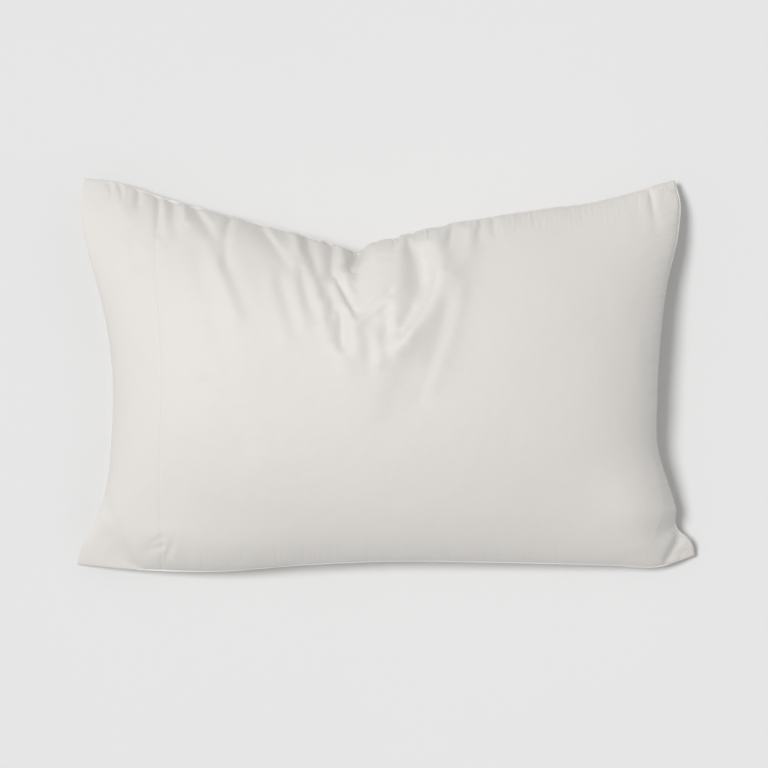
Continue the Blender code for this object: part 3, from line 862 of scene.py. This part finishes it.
def woven_cloth():
    """Fine threads with slubs, and the faint unevenness of washed and pressed cotton."""
    name = "woven_cloth"
    if name in bpy.data.node_groups:
        return bpy.data.node_groups[name]
    group, inside, out = new_group(
        name,
        (
            ("Cloth place", "NodeSocketVector", None),
            ("Threads per metre", "NodeSocketFloat", COTTON_SATEEN.threads),
            ("Colour", "NodeSocketColor", (0.8, 0.8, 0.8, 1)),
            ("Unevenness", "NodeSocketFloat", COTTON_SATEEN.unevenness),
        ),
        (
            ("Colour", "NodeSocketColor"),
            ("Roughness change", "NodeSocketFloat"),
            ("Thread height", "NodeSocketFloat"),
            ("Crumple height", "NodeSocketFloat"),
        ),
    )
    place = inside.outputs["Cloth place"]
    split = node(group, "ShaderNodeSeparateXYZ")
    group.links.new(place, split.inputs[0])
    turns = math(group, "MULTIPLY", inside.outputs["Threads per metre"], np.pi * 2)
    warp = math(group, "SINE", math(group, "MULTIPLY", split.outputs[0], turns))
    weft = math(group, "SINE", math(group, "MULTIPLY", split.outputs[1], turns))
    over = math(group, "MULTIPLY", warp, weft)
    thread = math(group, "ADD", math(group, "MULTIPLY", over, 0.5), 0.5)
    group.links.new(thread, out.inputs["Thread height"])

    slubs = []
    for stretch in ((SLUB_LONG, SLUB_THIN, 1), (SLUB_THIN, SLUB_LONG, 1)):
        longer = node(group, "ShaderNodeMapping")
        longer.inputs["Scale"].default_value = stretch
        group.links.new(place, longer.inputs["Vector"])
        slub = noise(group, longer.outputs[0], 1.0, 1.0)
        slubs.append(math(group, "MULTIPLY", slub.outputs["Fac"], 0.5))
    cloud = noise(group, place, CLOUD_SCALE, CLOUD_DETAIL)
    mixed = math(
        group,
        "ADD",
        math(group, "MULTIPLY", math(group, "ADD", *slubs), SLUB_SHARE),
        math(group, "MULTIPLY", cloud.outputs["Fac"], CLOUD_SHARE),
    )
    change = math(group, "MULTIPLY", math(group, "SUBTRACT", mixed, 0.5), inside.outputs["Unevenness"])
    colour = brightened(group, inside.outputs["Colour"], math(group, "ADD", change, 1.0))
    group.links.new(colour, out.inputs["Colour"])
    group.links.new(math(group, "MULTIPLY", change, ROUGHER_BY), out.inputs["Roughness change"])

    crumple = noise(group, place, CRUMPLE_SCALE, 2.0)
    crumple.inputs["Roughness"].default_value = CRUMPLE_ROUGHNESS
    group.links.new(crumple.outputs["Fac"], out.inputs["Crumple height"])
    return group


def new_material(name):
    """An empty finish, its tree and its shader."""
    material = bpy.data.materials.new(name)
    material.use_nodes = True
    tree = material.node_tree
    return material, tree, tree.nodes["Principled BSDF"]


def cloth_material(name, colour, finish):
    """A woven cotton finish."""
    material, tree, shader = new_material(name)
    place = node(tree, "ShaderNodeUVMap", uv_map=CLOTH_MAP)
    weave = node(tree, "ShaderNodeGroup")
    weave.node_tree = woven_cloth()
    tree.links.new(place.outputs[0], weave.inputs["Cloth place"])
    weave.inputs["Threads per metre"].default_value = finish.threads
    weave.inputs["Colour"].default_value = (*colour, 1)
    weave.inputs["Unevenness"].default_value = finish.unevenness
    tree.links.new(weave.outputs["Colour"], shader.inputs["Base Color"])
    rough = math(tree, "ADD", weave.outputs["Roughness change"], finish.roughness, clamp=True)
    tree.links.new(rough, shader.inputs["Roughness"])
    height = math(
        tree,
        "ADD",
        math(tree, "MULTIPLY", weave.outputs["Thread height"], finish.thread_height),
        math(tree, "MULTIPLY", weave.outputs["Crumple height"], finish.crumple_height),
    )
    bump = node(tree, "ShaderNodeBump")
    bump.inputs["Strength"].default_value = 1.0
    bump.inputs["Distance"].default_value = 1.0
    tree.links.new(height, bump.inputs["Height"])
    tree.links.new(bump.outputs[0], shader.inputs["Normal"])
    shader.inputs["Metallic"].default_value = 0.0
    shader.inputs["Specular IOR Level"].default_value = COTTON_SHINE
    shader.inputs["Sheen Weight"].default_value = finish.sheen
    shader.inputs["Sheen Roughness"].default_value = SHEEN_ROUGHNESS
    material.diffuse_color = (*colour, 1)
    return material


def plain_material(name, colour, roughness):
    """An even finish, faintly mottled."""
    material, tree, shader = new_material(name)
    place = node(tree, "ShaderNodeTexCoord")
    mottle = noise(tree, place.outputs["Object"], MOTTLE_SCALE, 2.0)
    bright = math(tree, "ADD", math(tree, "MULTIPLY", mottle.outputs["Fac"], MOTTLE), 1 - MOTTLE / 2)
    tree.links.new(brightened(tree, colour, bright), shader.inputs["Base Color"])
    shader.inputs["Roughness"].default_value = roughness
    return material


# ----------------------------------------------------------
# Sizes and colours that a user would change
# ----------------------------------------------------------


class CaseSizes(bpy.types.PropertyGroup):
    columns: IntProperty(name="Columns", description="Cells along the case", default=168, min=16)
    rows: IntProperty(name="Rows", description="Cells across the case", default=100, min=12)
    stitch_length: FloatProperty(
        name="Stitch length", description="Length of one stitch of the hem", default=0.0024, unit="LENGTH"
    )
    stitch_pitch: FloatProperty(
        name="Stitch pitch", description="From one stitch to the next", default=0.0036, unit="LENGTH"
    )
    thread: FloatProperty(
        name="Thread", description="Radius of the sewing thread", default=0.00022, unit="LENGTH"
    )


class CaseColours(bpy.types.PropertyGroup):
    cotton: FloatVectorProperty(
        name="Cotton",
        description="Colour of the case",
        subtype="COLOR",
        default=(0.79, 0.765, 0.73),
    )
    ticking: FloatVectorProperty(
        name="Pillow",
        description="Colour of the pillow's ticking",
        subtype="COLOR",
        default=(0.84, 0.84, 0.83),
    )
    thread: FloatVectorProperty(
        name="Thread",
        description="Colour of the hem's thread",
        subtype="COLOR",
        default=(0.74, 0.71, 0.67),
    )


class StudioSettings(bpy.types.PropertyGroup):
    floor: FloatVectorProperty(
        name="Floor", description="Colour of the floor", subtype="COLOR", default=(0.82, 0.82, 0.82)
    )
    key: FloatProperty(name="Key light", description="Strength of the key light", default=1.85, min=0)
    softness: FloatProperty(
        name="Softness", description="How wide the key light is", default=0.30, subtype="ANGLE"
    )
    surround: FloatProperty(
        name="Surround", description="Strength of the even light of the room", default=0.42, min=0
    )


class PILLOWCASE_OT_filled_case(bpy.types.Operator):
    """Makes the filled case with its seams, creases, hems and the end of the pillow inside"""

    bl_idname = "pillowcase.filled_case"
    bl_label = "Filled case"

    def execute(self, context):
        colours = context.scene.case_colours
        case = filled_case(context.scene.case_sizes)
        finishes = case.data.materials
        finishes.append(cloth_material("cotton_sateen", colours.cotton, COTTON_SATEEN))
        finishes.append(cloth_material("pillow_ticking", colours.ticking, PILLOW_TICKING))
        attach(case, BODY)
        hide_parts(NODE)
        return {"FINISHED"}


class PILLOWCASE_OT_hem_stitches(bpy.types.Operator):
    """Sews the row of stitches that holds the hem, on the face and on the back"""

    bl_idname = "pillowcase.hem_stitches"
    bl_label = "Hem stitches"

    def execute(self, context):
        sizes, colours = context.scene.case_sizes, context.scene.case_colours
        thread = bpy.data.curves.new("hem_stitches", "CURVE")
        thread.dimensions = "3D"
        thread.bevel_depth = sizes.thread
        thread.bevel_resolution = 1
        thread.use_fill_caps = True
        for face in (FACE, BACK):
            for run in stitch_runs(sizes, face):
                spline = thread.splines.new("POLY")
                spline.points.add(len(run) - 1)
                for point, place in zip(spline.points, run):
                    point.co = (*place, 1)
        stitches = bpy.data.objects.new("hem_stitches", thread)
        context.scene.collection.objects.link(stitches)
        finish = plain_material("sewing_thread", colours.thread, SEWING_THREAD_ROUGHNESS)
        thread.materials.append(finish)
        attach(stitches, BODY)
        return {"FINISHED"}


class PILLOWCASE_OT_studio(bpy.types.Operator):
    """Makes the floor, the lights and the camera"""

    bl_idname = "pillowcase.studio"
    bl_label = "Studio"

    def execute(self, context):
        settings = context.scene.studio_settings
        mesh = bpy.data.meshes.new("floor")
        sides = ((-1, -1), (1, -1), (1, 1), (-1, 1))
        corners = [(x * FLOOR_REACH, y * FLOOR_REACH, FLOOR_LEVEL) for x, y in sides]
        mesh.from_pydata(corners, [], [(0, 1, 2, 3)])
        mesh.materials.append(plain_material("pale_floor", settings.floor, FLOOR_ROUGHNESS))
        floor = bpy.data.objects.new("floor", mesh)
        context.scene.collection.objects.link(floor)

        light = bpy.data.lights.new("key", "SUN")
        light.energy = settings.key
        light.angle = settings.softness
        key = bpy.data.objects.new("key", light)
        key.rotation_euler = Vector(KEY_FROM).to_track_quat("Z", "Y").to_euler()
        context.scene.collection.objects.link(key)

        world = bpy.data.worlds.new("room")
        context.scene.world = world
        world.use_nodes = True
        background = world.node_tree.nodes["Background"]
        background.inputs["Color"].default_value = (1.0, 1.0, 1.0, 1)
        background.inputs["Strength"].default_value = settings.surround

        lens = bpy.data.cameras.new("above")
        lens.lens = LENS
        lens.sensor_width = SENSOR_WIDTH
        camera = bpy.data.objects.new("above", lens)
        camera.location = (*FRAME_CENTRE, SEAM_LEVEL + FRAME_WIDTH * LENS / SENSOR_WIDTH)
        context.scene.collection.objects.link(camera)
        context.scene.camera = camera
        context.scene.view_settings.view_transform = "Standard"
        return {"FINISHED"}


class PILLOWCASE_PT_panel(bpy.types.Panel):
    bl_idname = "PILLOWCASE_PT_panel"
    bl_label = "Filled pillowcase"
    bl_space_type = "VIEW_3D"
    bl_region_type = "UI"
    bl_category = "Pillowcase"

    def draw(self, context):
        for settings in SETTINGS:
            group = getattr(context.scene, settings)
            box = self.layout.box()
            for name in group.__annotations__:
                box.prop(group, name)
        for piece in PIECES:
            self.layout.operator(piece.bl_idname)


SETTINGS = {
    "case_sizes": CaseSizes,
    "case_colours": CaseColours,
    "studio_settings": StudioSettings,
}
PIECES = (PILLOWCASE_OT_filled_case, PILLOWCASE_OT_hem_stitches, PILLOWCASE_OT_studio)


def register():
    for kind in (*SETTINGS.values(), *PIECES, PILLOWCASE_PT_panel):
        bpy.utils.register_class(kind)
    for name, kind in SETTINGS.items():
        setattr(bpy.types.Scene, name, PointerProperty(type=kind))


def unregister():
    for name in SETTINGS:
        delattr(bpy.types.Scene, name)
    for kind in (PILLOWCASE_PT_panel, *PIECES, *SETTINGS.values()):
        bpy.utils.unregister_class(kind)


def main():
    register()
    bpy.ops.pillowcase.filled_case()
    bpy.ops.pillowcase.hem_stitches()
    bpy.ops.pillowcase.studio()


if __name__ == "__main__":
    main()
